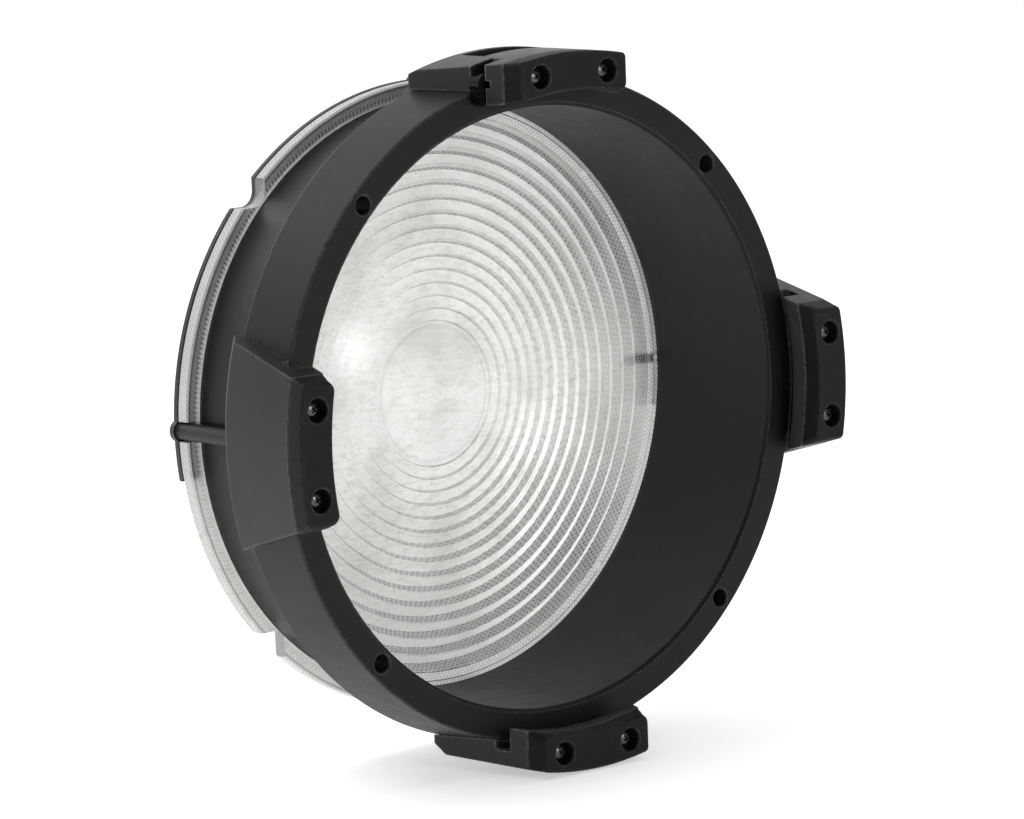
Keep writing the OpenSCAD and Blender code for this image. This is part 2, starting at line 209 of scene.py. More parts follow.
def piece(name, bm, mats, stands_for=(), body=BODY, angle=34, weighted=True):
    """the finished object: local mm turned into the row frame in metres, smooth with sharp edges kept"""
    bmesh.ops.transform(bm, matrix=Matrix.Scale(MM, 4) @ FWD, verts=bm.verts)
    bmesh.ops.remove_doubles(bm, verts=bm.verts, dist=1.5e-6)
    bmesh.ops.dissolve_degenerate(bm, dist=1e-6, edges=bm.edges)
    bmesh.ops.recalc_face_normals(bm, faces=bm.faces)
    lim = math.radians(angle)
    for f in bm.faces:
        f.smooth = True
    for e in bm.edges:
        if len(e.link_faces) == 2:
            e.smooth = e.calc_face_angle(0) < lim
    me = bpy.data.meshes.new(name)
    bm.to_mesh(me)
    bm.free()
    o = bpy.data.objects.new(name, me)
    scene.collection.objects.link(o)
    for m in mats if isinstance(mats, (list, tuple)) else [mats]:
        me.materials.append(m)
    if weighted:
        w = o.modifiers.new("normals", "WEIGHTED_NORMAL")
        w.keep_sharp = True
        w.weight = 100
    if body:
        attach(o, body)
    if stands_for:
        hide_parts(*stands_for)
    return o


# ------------------------------------------------------------------ materials
class Mat:
    def __init__(self, name):
        self.m = bpy.data.materials.new(name)
        self.m.use_nodes = True
        self.t = self.m.node_tree
        self.t.nodes.clear()
        self.out = self.n("ShaderNodeOutputMaterial")
        self.p = self.n("ShaderNodeBsdfPrincipled")
        self.l(self.p.outputs[0], self.out.inputs[0])
        self.co = self.n("ShaderNodeTexCoord").outputs["Object"]

    def n(self, kind, **kw):
        x = self.t.nodes.new(kind)
        for k, v in kw.items():
            setattr(x, k, v)
        return x

    def l(self, a, b):
        self.t.links.new(a, b)

    def set(self, **kw):
        for k, v in kw.items():
            self.p.inputs[k.replace("_", " ")].default_value = v

    def noise(self, scale, detail=4.0, rough=0.5, stretch=None, distortion=0.0):
        x = self.n("ShaderNodeTexNoise")
        x.inputs["Scale"].default_value = scale
        x.inputs["Detail"].default_value = detail
        x.inputs["Roughness"].default_value = rough
        x.inputs["Distortion"].default_value = distortion
        src = self.co
        if stretch:
            mp = self.n("ShaderNodeMapping")
            mp.inputs["Scale"].default_value = stretch
            self.l(self.co, mp.inputs[0])
            src = mp.outputs[0]
        self.l(src, x.inputs["Vector"])
        return x.outputs["Fac"]

    def voronoi(self, scale, feature="F1", smooth=None):
        x = self.n("ShaderNodeTexVoronoi", feature=feature)
        x.inputs["Scale"].default_value = scale
        self.l(self.co, x.inputs["Vector"])
        return x.outputs["Distance"]

    def map(self, v, a, b, c, d):
        x = self.n("ShaderNodeMapRange")
        self.l(v, x.inputs["Value"])
        for k, q in zip(("From Min", "From Max", "To Min", "To Max"), (a, b, c, d)):
            x.inputs[k].default_value = q
        return x.outputs["Result"]

    def math(self, op, a, b=None, c=None):
        x = self.n("ShaderNodeMath", operation=op)
        for i, v in enumerate((a, b, c)):
            if v is None:
                continue
            if isinstance(v, (int, float)):
                x.inputs[i].default_value = v
            else:
                self.l(v, x.inputs[i])
        return x.outputs[0]

    def mix(self, fac, a, b):
        x = self.n("ShaderNodeMix", data_type="RGBA")
        if isinstance(fac, (int, float)):
            x.inputs[0].default_value = fac
        else:
            self.l(fac, x.inputs[0])
        for i, v in ((6, a), (7, b)):
            if isinstance(v, (tuple, list)):
                x.inputs[i].default_value = (*v[:3], 1)
            else:
                self.l(v, x.inputs[i])
        return x.outputs[2]

    def bump(self, height, strength, distance, normal=None):
        x = self.n("ShaderNodeBump")
        x.inputs["Strength"].default_value = strength
        x.inputs["Distance"].default_value = distance
        self.l(height, x.inputs["Height"])
        if normal is not None:
            self.l(normal, x.inputs["Normal"])
        return x.outputs[0]


def edge_wear_and_sheen(M, reach=0.00055):
    """1 on convex edges, broken up so that it reads as rubbed and dusty; partly real wear, partly a painted highlight
    along the edges
    """
    ao = M.n("ShaderNodeAmbientOcclusion", samples=4, inside=True, only_local=True)
    ao.inputs["Distance"].default_value = reach
    e = M.map(ao.outputs["AO"], 0.93, 0.62, 0, 1)
    return M.math("MULTIPLY", e, M.map(M.noise(900, 5, 0.7), 0.40, 0.60, 0.12, 1.0))


def black_plastic(name, base, light, rough, grain_scale, grain, ior=0.5, wear_sheen=0.35, tint=(1, 1, 1), worn_sheen=0.20):
    M = Mat(name)
    big = M.noise(28, 5, 0.6)
    fine = M.noise(grain_scale, 3, 0.6)
    vor = M.voronoi(grain_scale * 0.55)
    dust = M.noise(240, 7, 0.72)
    specks = M.noise(2100, 2, 0.5)
    a, b = [tuple(q * t for q, t in zip((v, v, v), tint)) for v in (base, light)]
    col = M.mix(M.map(big, 0.35, 0.68, 0, 1), a, b)
    col = M.mix(M.map(specks, 0.66, 0.76, 0, 0.35), col, tuple(q * 3.5 for q in b))
    # lighter convex edges: rubbed wear and a painted edge highlight
    col = M.mix(M.math("MULTIPLY", edge_wear_and_sheen(M), wear_sheen), col, (worn_sheen, worn_sheen, worn_sheen * 1.01))
    col = M.mix(M.map(dust, 0.60, 0.80, 0, 0.10), col, (0.16, 0.155, 0.15))
    M.l(col, M.p.inputs["Base Color"])
    r = M.math("ADD", M.map(big, 0.3, 0.7, rough - 0.05, rough + 0.05), M.map(dust, 0.35, 0.7, -0.03, 0.06))
    M.l(r, M.p.inputs["Roughness"])
    M.p.inputs["Specular IOR Level"].default_value = ior
    h = M.math("ADD", M.math("MULTIPLY", fine, 0.6), M.math("MULTIPLY", vor, 0.5))
    M.l(M.bump(h, grain, 0.00012), M.p.inputs["Normal"])
    return M.m


barrel_m = black_plastic("barrel_black", 0.0085, 0.0125, 0.44, 2600, 0.30, ior=0.33, wear_sheen=0.9, worn_sheen=0.09)
# a darker copy of the barrel black for the front annulus: painted shade
barrel_shaded_face_m = black_plastic("barrel_face_shaded", 0.0045, 0.0070, 0.50, 2600, 0.30, ior=0.19, wear_sheen=0.8)
clip_m = black_plastic("clip_black", 0.0085, 0.0120, 0.42, 3200, 0.15, ior=0.37, wear_sheen=0.8)
bumper_m = black_plastic("bumper_rubber", 0.0045, 0.0080, 0.55, 1700, 0.8, ior=0.15, wear_sheen=0.8, tint=(0.90, 0.97, 1.20))
retainer_m = black_plastic("retainer_black", 0.010, 0.014, 0.45, 2600, 0.3)
gasket_m = black_plastic("gasket_black", 0.012, 0.016, 0.75, 3000, 0.5)
latch_m = black_plastic("latch_black", 0.0025, 0.004, 0.20, 3800, 0.04, ior=0.16, wear_sheen=0.0)
screw_m = black_plastic("screw_black", 0.0025, 0.004, 0.24, 5200, 0.03, ior=0.95, wear_sheen=0.0)


def steel(name, base, rough, stretch):
    M = Mat(name)
    M.set(Metallic=1.0)
    s = M.noise(900, 5, 0.6, stretch)
    big = M.noise(60, 4)
    M.l(M.mix(M.map(s, 0.3, 0.7, 0, 1), tuple(base * 0.8 for _ in range(3)), (base, base, base * 1.02)), M.p.inputs["Base Color"])
    M.l(M.math("ADD", M.map(s, 0.3, 0.7, rough - 0.06, rough + 0.08), M.map(big, 0.3, 0.7, -0.04, 0.04)), M.p.inputs["Roughness"])
    M.l(M.bump(s, 0.15, 0.00005), M.p.inputs["Normal"])
    return M.m


steel_m = steel("screw_steel", 0.52, 0.34, (1, 6, 1))
spring_m = steel("spring_steel", 0.58, 0.26, (1, 1, 4))


def lens_material(name, kind):
    """clear moulding with a frosted, pebbled back: part glass, part light-scattering white.
    kind: face, riser, back, edge or centre"""
    M = Mat(name)
    M.set(Transmission_Weight=1.0, IOR=1.49)
    M.p.inputs["Base Color"].default_value = (0.985, 0.99, 0.985, 1)
    sep = M.n("ShaderNodeSeparateXYZ")
    M.l(M.co, sep.inputs[0])
    X, Z = sep.outputs[0], sep.outputs[2]
    rad = M.math("SQRT", M.math("ADD", M.math("MULTIPLY", X, X), M.math("MULTIPLY", Z, Z)))
    ang = M.math("ARCTAN2", Z, X)
    if kind in ("edge", "rim"):
        # rows of small pebbles that stand staggered round the rim
        w1 = M.math("SINE", M.math("MULTIPLY", ang, 400.0))
        w2 = M.math("SINE", M.math("MULTIPLY", M.math("ADD", rad, sep.outputs[1]), 2 * math.pi / 0.0019))
        hatch = M.map(M.math("MULTIPLY", w1, w2), -0.55, 0.55, 0.0, 1.0)
    else:
        # a close grid of round pebbles, three waves at 120 degrees
        px, pz = X, Z
        if kind == "riser":  # keep the pebbles round on the steep bands
            grow = M.math("SUBTRACT", 1.0, M.math("DIVIDE", M.math("MULTIPLY", sep.outputs[1], 0.85), M.math("MAXIMUM", rad, 0.018)))
            px, pz = M.math("MULTIPLY", X, grow), M.math("MULTIPLY", Z, grow)
        kw = 4 * math.pi / (math.sqrt(3) * 0.00122)
        waves = [M.math("COSINE", M.math("ADD", M.math("MULTIPLY", px, kw * cx), M.math("MULTIPLY", pz, kw * cz)))
                 for cx, cz in ((0.0, 1.0), (0.866, -0.5), (-0.866, -0.5))]
        hatch = M.map(M.math("ADD", M.math("ADD", waves[0], waves[1]), waves[2]), -1.2, 2.2, 1.0, 0.0)
    smear = M.noise(55, 6, 0.62)
    dust = M.noise(520, 5, 0.7)
    streak = M.noise(430, 5, 0.68, (0.55, 1, 1.6))
    clean, dirty = (0.985, 0.975, 0.955), (0.74, 0.72, 0.685)
    dirt = M.map(rad, 0.045, 0.085, 1.0, 0.35)
    col = M.mix(M.math("MULTIPLY", M.map(smear, 0.46, 0.70, 0, 0.8), dirt), clean, dirty)
    col = M.mix(M.math("MULTIPLY", M.map(streak, 0.48, 0.66, 0, 0.75), dirt), col, (0.62, 0.61, 0.585))
    col = M.mix(M.map(dust, 0.60, 0.76, 0, 0.7), col, (0.50, 0.48, 0.45))
    grit = M.noise(1500, 3, 0.6)
    col = M.mix(M.map(grit, 0.50, 0.72, 0, 0.35), col, (0.62, 0.61, 0.585))
    M.l(M.mix(0.55, (1, 1, 1), col), M.p.inputs["Base Color"])
    # painted light: a mask that pales the bands a little below three o'clock, where most light passes
    away = M.math("COSINE", M.math("ADD", ang, 0.10))
    painted_light_side = M.math("POWER", M.map(away, 0.2, 1.0, 0.0, 1.0), 7.0)
    # how far across its riser a point stands: 0 at the root, 1 at the crest, more on the prism outside it
    mm = M.math("SUBTRACT", M.math("MULTIPLY", rad, 1000.0), EYE_R)
    ring = M.math("DIVIDE", M.math("SUBTRACT", M.math("SQRT", M.math("ADD", M.math("MULTIPLY", M.math("MAXIMUM", mm, 0.0), 0.168), 12.96)), 3.6), 0.084)
    part = M.math("DIVIDE", M.math("FRACT", M.math("ADD", ring, 0.02)), M.math("MULTIPLY", rad, 1000.0 * SLOPE * LEAN))
    outer = M.math("MULTIPLY", M.map(M.math("SINE", ang), 0.25, 0.90, 0.0, 1.0), M.map(part, 0.50, 0.68, 0.0, 1.0))
    if kind == "riser":
        # painted shade: the risers darken towards the rim, less a little below three o'clock and less on the upper
        # half past the middle of each riser
        painted_band_shade = M.math("MULTIPLY", M.math("POWER", M.map(rad, 0.018, 0.080, 0.46, 1.08), 1.7), M.map(painted_light_side, 0, 1, 1.0, 0.26))
        painted_band_shade = M.math("MULTIPLY", painted_band_shade, M.math("SUBTRACT", 1.0, M.math("MULTIPLY", outer, 0.85)))
        patt = M.map(hatch, 0.15, 0.85, 1.0, 0.56)
        col = M.mix(M.math("MULTIPLY", painted_band_shade, patt), col, (0.04, 0.041, 0.046))
        frost = M.map(painted_light_side, 0, 1, 0.74, 0.56)
    elif kind == "face":
        patt = M.math("MULTIPLY", M.map(rad, 0.030, 0.084, 0.02, 0.14), M.map(hatch, 0.35, 1, 1, 0))
        col = M.mix(patt, col, (0.22, 0.22, 0.23))
        # painted shade: the prisms darken towards the rim
        col = M.mix(M.map(rad, 0.030, 0.084, 0.0, 0.22), col, (0.45, 0.45, 0.45))
        # painted shadow: a dark foot beside each riser on the prism outside it, on the right half, fading a little
        # below three o'clock
        painted_foot_shadow = M.math("MULTIPLY", M.map(part, 1.12, 1.42, 1.0, 0.0), M.map(M.math("DIVIDE", X, rad), -0.40, 0.05, 0.0, 1.0))
        painted_foot_shadow = M.math("MULTIPLY", painted_foot_shadow, M.map(rad, 0.024, 0.078, 0.25, 0.85))
        painted_foot_shadow = M.math("MULTIPLY", M.math("MULTIPLY", painted_foot_shadow, M.map(hatch, 0.15, 0.85, 1.0, 0.6)), M.map(painted_light_side, 0, 1, 1.0, 0.2))
        col = M.mix(painted_foot_shadow, col, (0.10, 0.10, 0.105))
        # the step round the eye: a painted highlight line at the left, and a thin painted shade line all round just
        # inside it
        rr = M.math("MULTIPLY", rad, 1000.0)
        side = M.map(M.math("DIVIDE", X, M.math("MAXIMUM", rad, 0.001)), 0.35, -0.55, 0.0, 1.0)
        painted_eye_highlight = M.math("MULTIPLY", M.map(M.math("ABSOLUTE", M.math("SUBTRACT", rr, EYE_R + 0.2)), 0.35, 0.95, 1.0, 0.0), side)
        painted_eye_shade = M.map(M.math("ABSOLUTE", M.math("SUBTRACT", rr, EYE_R - 1.3)), 0.25, 0.85, 0.55, 0.0)
        col = M.mix(painted_eye_shade, col, (0.52, 0.51, 0.50))
        col = M.mix(painted_eye_highlight, col, (1.0, 1.0, 1.0))
        frost = M.math("ADD", M.map(smear, 0.42, 0.70, 0.58, 0.72), M.math("MULTIPLY", painted_eye_highlight, 0.25))
    elif kind == "edge":
        col = M.mix(M.math("MULTIPLY", M.map(hatch, 0.45, 1.0, 0.0, 1.0), M.map(rad, 0.0865, 0.0875, 0.42, 0.16)), col, (0.16, 0.16, 0.17))
        # a row of deeper pebbles half way across, strongest at the upper left, and the shaded outer edge
        row = M.map(M.math("ABSOLUTE", M.math("SUBTRACT", rad, 0.0894)), 0.0002, 0.0010, 1.0, 0.0)
        dots = M.map(M.math("SINE", M.math("MULTIPLY", M.math("ADD", ang, M.math("MULTIPLY", rad, 3.0)), 400.0)), -0.2, 0.7, 0.0, 1.0)
        high = M.map(M.math("COSINE", M.math("SUBTRACT", ang, 2.25)), 0.45, 0.92, 0.25, 1.0)
        col = M.mix(M.math("MULTIPLY", M.math("MULTIPLY", row, dots), M.math("MULTIPLY", high, 0.75)), col, (0.04, 0.04, 0.045))
        hem = M.map(M.math("ABSOLUTE", M.math("SUBTRACT", rad, 0.0917)), 0.0001, 0.0005, 0.55, 0.0)
        col = M.mix(hem, col, (0.07, 0.07, 0.075))
        frost = 0.84
    elif kind == "rim":
        col = M.mix(M.map(hatch, 0.72, 1.0, 0.10, 0.34), col, (0.25, 0.25, 0.26))
        frost = 0.82
    else:
        frost = 0.10
    if kind in ("face", "riser", "edge"):
        # dark marks where the two posts at three and nine o'clock show through the rim, a painted glint at the outer
        # end of each, and painted highlights at the four corner notches
        up = M.math("SUBTRACT", Z, 0.0012)
        cross = M.math("ABSOLUTE", up)
        post = M.math("MULTIPLY", M.map(cross, 0.0008, 0.0020, 1, 0), M.map(rad, 0.074, 0.080, 0, 0.8 if kind == "face" else 1.0))
        col = M.mix(post, col, (0.045, 0.045, 0.05))
        gx = M.math("SUBTRACT", M.math("ABSOLUTE", X), 0.0858)
        glint = M.math("SQRT", M.math("ADD", M.math("MULTIPLY", gx, gx), M.math("MULTIPLY", up, up)))
        col = M.mix(M.map(glint, 0.0005, 0.0012, 1, 0), col, (1.0, 1.0, 1.0))
        cx, cz = (M.math("SUBTRACT", M.math("ABSOLUTE", v), 0.0600) for v in (X, Z))
        dist = M.math("SQRT", M.math("ADD", M.math("MULTIPLY", cx, cx), M.math("MULTIPLY", cz, cz)))
        col = M.mix(M.map(dist, 0.0007, 0.0016, 1, 0), col, (1.0, 1.0, 1.0))
    r = M.math("ADD", M.map(smear, 0.42, 0.72, 0.17, 0.25), M.map(streak, 0.45, 0.75, 0, 0.05))
    M.l(r, M.p.inputs["Roughness"])
    if kind in ("back", "edge", "rim"):
        nrm = M.bump(hatch, 0.8, 0.00012 if kind == "back" else 0.00006)
    else:
        nrm = M.bump(M.noise(900, 3), 0.08, 0.0001)
    soft = nrm
    if kind == "riser":
        # painted glow: an emission that lightens the bands towards three o'clock, and the scattering normals turned
        # towards the front there so that the bands shade evenly
        even = M.math("MULTIPLY", M.map(away, 0.45, 0.92, 0.0, 1.0), M.map(rad, 0.045, 0.082, 0.9, 0.12))
        painted_glow = M.math("MULTIPLY", M.math("POWER", even, 1.9), 0.22)
        even = M.math("MAXIMUM", even, M.math("MULTIPLY", outer, 0.85))
        vm = M.n("ShaderNodeMix", data_type="VECTOR")
        M.l(even, vm.inputs[0])
        M.l(nrm, vm.inputs[4])
        vm.inputs[5].default_value = (0.0, -1.0, 0.0)
        vn = M.n("ShaderNodeVectorMath", operation="NORMALIZE")
        M.l(vm.outputs[1], vn.inputs[0])
        soft = vn.outputs[0]
    M.l(nrm, M.p.inputs["Normal"])
    tr, df = M.n("ShaderNodeBsdfTranslucent"), M.n("ShaderNodeBsdfDiffuse")
    gl = M.n("ShaderNodeBsdfGlossy")
    gl.inputs["Roughness"].default_value = 0.22
    for x in (tr, df):
        M.l(col, x.inputs["Color"])
        M.l(soft, x.inputs["Normal"])
    M.l(nrm, gl.inputs["Normal"])
    m1, m2, m3 = (M.n("ShaderNodeMixShader") for _ in range(3))
    m1.inputs[0].default_value = {"edge": 0.50, "rim": 0.80, "riser": 0.15}.get(kind, 0.42)
    M.l(tr.outputs[0], m1.inputs[1])
    M.l(df.outputs[0], m1.inputs[2])
    fr = M.n("ShaderNodeFresnel")
    fr.inputs[0].default_value = 1.45
    M.l(fr.outputs[0], m3.inputs[0])
    M.l(m1.outputs[0], m3.inputs[1])
    M.l(gl.outputs[0], m3.inputs[2])
    if isinstance(frost, float):
        m2.inputs[0].default_value = frost
    else:
        M.l(frost, m2.inputs[0])
    M.l(M.p.outputs[0], m2.inputs[1])
    M.l(m3.outputs[0], m2.inputs[2])
    last = m2.outputs[0]
    # the riser's painted glow, added as emission
    if kind == "riser":
        em, ad = M.n("ShaderNodeEmission"), M.n("ShaderNodeAddShader")
        M.l(col, em.inputs[0])
        M.l(painted_glow, em.inputs[1])
        M.l(last, ad.inputs[0])
        M.l(em.outputs[0], ad.inputs[1])
        last = ad.outputs[0]
    M.l(last, M.out.inputs[0])
    return M.m


lens_face_m = lens_material("lens_clear", "face")
lens_riser_m = lens_material("lens_riser", "riser")
lens_back_m = lens_material("lens_stipple", "back")
lens_edge_m = lens_material("lens_edge", "edge")
lens_rim_m = lens_material("lens_rim", "rim")

# ------------------------------------------------------------------ barrel
ch = 0.45
bp = rounded(
    [(BORE_F + 1.0, RING_Z), (RING_R - 0.25, RING_Z), (skirt_at(RING_Z - 0.5) , RING_Z - 0.5), (SKIRT_R, SKIRT_Z),
     (SKIRT_R - WALL, SKIRT_Z), (skirt_at(PLATE_Z) - WALL, PLATE_Z), (BORE_F + WALL, PLATE_Z),
     (BORE_R + 1.6, -TUBE_BACK), (BORE_R, -TUBE_BACK), (BORE_F, RING_Z - 1.0)],
    [0.3, 0.3, 0.3, 0.4, 0.3, 0.8, 0.8, 0.3, 0.3, 0.4])
adds, cuts = [], []
for a in (45, 135, 225, 315):
    adds.append(spin(rod(0, MOUNT_R, 0, PLATE_Z + 0.5, BOSS_R, 64), a))
for a in (0, 90, 180, 270):
    cuts.append(spin(box(-14.1, 92.3, -1, 14.1, 100.3, 14.2), a))
    adds.append(spin(rod(0, POST, LENS_B, PLATE_Z + 0.5, POST_R, 48), a))
    adds.append(spin(box(-1.3, 87.2, -TUBE_BACK + 0.02, 1.3, POST, PLATE_Z + 0.01), a))
    for s in (-1, 1):
        adds.append(spin(rod(s * 9.5, 92.6, 14.2, PLATE_Z + 0.5, 3.0, 32), a))
holes = []
for a in (45, 135, 225, 315):
    b = rod(0, MOUNT_R, -1, RING_Z + 2, HOLE_R, 64)
    holes.append(spin(b, a))
    # eased rim of the hole
    holes.append(spin(rod(0, MOUNT_R, RING_Z - 0.35, RING_Z + 0.1, HOLE_R - 0.02, 64, HOLE_R + 0.45), a))
for a in (0, 90, 180, 270):
    holes.append(spin(rod(0, POST, LENS_B - 1, LENS_B + 12, 1.1, 24), a))
b0 = solid(revolve(bp, 360), cuts=cuts)
b1 = solid(b0, adds=adds, cuts=holes)
# the front-facing annulus takes the darker copy of the barrel black: painted shade
for f in b1.faces:
    c = f.calc_center_median()
    if f.normal.z > 0.6 and c.z > RING_Z - 0.6:
        f.material_index = 1
piece("barrel_shell", b1, [barrel_m, barrel_shaded_face_m], ["barrel"])

# ------------------------------------------------------------------ lens
lp, mats = [], []


def add(r, z, m):
    lp.append((r, z))
    mats.append(m)


# profile from the axis along the back, up the rim and down the prisms; m is the material of the edge that starts here
FACE, RISER, BACK, EDGE, RIM = 0, 1, 2, 3, 4
FLAT_R = 82.35  # where the prisms end and the flat flange starts
add(0, LENS_B, BACK)
add(60, LENS_B, BACK)
add(FLANGE_R - 0.4, LENS_B, RIM)
add(FLANGE_R, LENS_B + 0.4, RIM)
add(FLANGE_R, LENS_F - 0.5, RIM)
add(FLANGE_R - 0.5, LENS_F, EDGE)
add(86.0, LENS_F, RIM)
add(85.35, LENS_F, RISER)
add(85.2, LENS_F - 0.35, RISER)
add(85.05, LENS_F, EDGE)
add(FLAT_R + 0.35, LENS_F, RISER)
for k in range(14, -1, -1):
    r0, r1 = PRISM_R[k], PRISM_R[k + 1]
    rt = r0 + LEAN * SLOPE * r0 * (r1 - r0)  # a riser leans, so its top is further out than its root
    top = PRISM_BASE + SLOPE * r0 * (r1 - rt)
    r_out = FLAT_R if k == 14 else r1
    if k == 14:
        add(FLAT_R, PRISM_BASE + SLOPE * r0 * (r1 - FLAT_R), FACE)
    for q in (0.66, 0.33) if k < 14 else ():
        rr = rt + (r_out - rt) * q
        add(rr, PRISM_BASE + SLOPE * r0 * (r1 - rr) * (1 + 0.04 * (1 - q)), FACE)
    add(rt + 0.14, top - 0.02, FACE)
    add(rt + 0.04, top - 0.02, RISER)
    add(r0, PRISM_BASE + 0.04, RISER if k else FACE)
    if k:
        add(r0 - 0.05, PRISM_BASE, FACE)
for i in range(11, -1, -1):
    r = EYE_R * i / 12
    add(r, PRISM_BASE + 0.0035 * (EYE_R * EYE_R - r * r), FACE)


def corner_notch(sx, sy, soft, r=4.5, big=40):
    a = NOTCH
    if soft:
        pts = [(a + big, a + big), (a, a + big), (a, a + r)]
        pts += [(a + r - r * math.cos(t * math.pi / 24), a + r - r * math.sin(t * math.pi / 24)) for t in range(1, 12)]
        pts += [(a + r, a), (a + big, a)]
    else:
        pts = [(a + big, a + big), (a, a + big), (a, a), (a + big, a)]
    pts = [(sx * x, sy * y) for x, y in pts]
    if area2(pts) < 0:
        pts.reverse()
    return prism(pts, LENS_B - 5, LENS_F + 8)


def post_cut(deg, clear=0.3):
    w = POST_R + clear
    pts = [(w, 101), (w, POST)] + [(w * math.cos(t), POST + w * math.sin(t)) for t in [-math.pi * k / 16 for k in range(1, 16)]] + [(-w, POST), (-w, 101)]
    if area2(pts) < 0:
        pts.reverse()
    return spin(prism(pts, LENS_B - 5, LENS_F + 8), deg)


# every mesh column of the lens is a full turn; points on the axis merge in piece()
lens = revolve(lp, 288, mats=mats)
bmesh.ops.remove_doubles(lens, verts=lens.verts, dist=1e-4)
lens = solid(lens, cuts=[corner_notch(-1, 1, True), corner_notch(1, 1, True), corner_notch(-1, -1, False), corner_notch(1, -1, False)]
             + [post_cut(a) for a in (0, 90, 180, 270)])
piece("lens", lens, [lens_face_m, lens_riser_m, lens_back_m, lens_edge_m, lens_rim_m], ["fresnel_lens"], angle=25)

# ------------------------------------------------------------------ clips
def clip_profile(length, drop):
    return rounded(
        [(CLIP_R, BUMP_Z), (CLIP_R, length), (CLIP_R - drop, 0.0),
         (SKIRT_R + 0.1, 0.0), (SKIRT_R + 0.05, SKIRT_Z), (skirt_at(RING_Z) + 0.08, RING_Z),
         (GROOVE_R, GROOVE_Z), (GROOVE_R, LIP_Z), (LIP_R, LIP_Z), (LIP_R, BUMP_Z)],
        [0.30, 0.6, 0.5, 0.3, 0.0, 0.3, 0.5, 0.5, 0.7, 0.30])


def clip_shell(length=3.7, drop=2.7, n=30, rho=0.22, m=4):
    clip_prof = clip_profile(length, drop)

    def ring(u, poly, w_of):
        pts = []
        for r, z in poly:
            t = u * math.asin(min(0.999, w_of(z) / r))
            pts.append((r * math.sin(t), r * math.cos(t), z))
        return pts
    rings = []
    for k in range(m, 0, -1):
        f = math.radians(90 * k / m)
        rings.append(ring(-1, inset(clip_prof, rho * (1 - math.cos(f))), lambda z: hw(z) - rho + rho * math.sin(f)))
    for j in range(n + 1):
        rings.append(ring(-1 + 2 * j / n, clip_prof, lambda z: hw(z) - rho))
    for k in range(1, m + 1):
        f = math.radians(90 * k / m)
        rings.append(ring(1, inset(clip_prof, rho * (1 - math.cos(f))), lambda z: hw(z) - rho + rho * math.sin(f)))
    return loft(rings)


def foot():
    return prism(rounded([(-14, 89.9), (14, 89.9), (14, 98.2), (-14, 98.2)], [0.6, 0.6, 0, 0]), 6.7, 14.2)


def clip_cuts():
    c = [box(-3.1, 88, -1, 3.1, 94.3, 19)]
    for s in (-1, 1):
        c.append(rod(s * 9.5, 92.6, 5.7, 15.2, 1.45, 24))
        c.append(rod(s * SCREW_X, SCREW_Y, LIP_Z + 0.6, BUMP_Z + 1, 1.5, 24))
    return c


def below_arc(r, x0, x1, y0, z0, z1, n=30):
    p = [(x0 + (x1 - x0) * i / n, math.sqrt(r * r - (x0 + (x1 - x0) * i / n) ** 2)) for i in range(n + 1)] + [(x1, y0), (x0, y0)]
    if area2(p) < 0:
        p.reverse()
    return prism(p, z0, z1)


for name, deg in (("right", -90), ("bottom", 180), ("left", 90)):
    b = solid(clip_shell(), adds=[foot()], cuts=clip_cuts())
    piece(name + "_clip_body", spin(b, deg), clip_m, [name + "_clip"])

top_cuts = clip_cuts()
top_cuts.append(below_arc(102.5, -31, -9.9, 95, GROOVE_Z, LIP_Z))
top_cuts.append(box(-31.5, 94.97, GROOVE_Z, -16.3, 107, LIP_Z))
win = rounded([(-14.8, 5.3), (14.8, 5.3), (14.8, 15.6), (-14.8, 15.6)], 0.5)
w0 = loft([[(x, 98, z) for x, z in win], [(x, 112, z) for x, z in win]])
keep = rod(0, 0, -5, 40, 99.4, 256)
top_cuts.append(solid(w0, cuts=[keep]))
top_cuts.append(box(-30, 94, LIP_Z - 0.1, -hw(LIP_Z) + 1.6, 96.1, LIP_Z + 1.6))
top_cuts.append(rod(-LATCH_X, LATCH_Y, 2, LIP_Z + 4, 0.9, 24))
top_cuts.append(rod(-LATCH_X, LATCH_Y, 12, GROOVE_Z + 0.1, 1.75, 32))
b = solid(clip_shell(2.8, 0.9), adds=[foot()], cuts=top_cuts)
piece("top_clip_body", b, clip_m, ["top_clip"])


# ------------------------------------------------------------------ bumpers
def outline(h, ro, ri, rr, rq):
    """bumper outline: rr rounds its outer corners and rq those next to the lens"""
    pi = math.pi
    ox, qx = h - rr, h - rq
    oy = math.sqrt((ro - rr) ** 2 - ox * ox)
    iy = math.sqrt((ri + rq) ** 2 - qx * qx)
    fo, fi = math.atan2(oy, ox), math.atan2(iy, qx)

    def arc(cx, cy, r, a0, a1, n):
        return [(cx + r * math.cos(a0 + (a1 - a0) * i / n), cy + r * math.sin(a0 + (a1 - a0) * i / n)) for i in range(n + 1)]
    return (arc(ox, oy, rr, 0, fo, 7) + arc(0, 0, ro, fo, pi - fo, 24)[1:-1] + arc(-ox, oy, rr, pi - fo, pi, 7)
            + arc(-qx, iy, rq, pi, 2 * pi - fi, 7) + arc(0, 0, ri, pi - fi, fi, 24)[1:-1] + arc(qx, iy, rq, pi + fi, 2 * pi, 7))


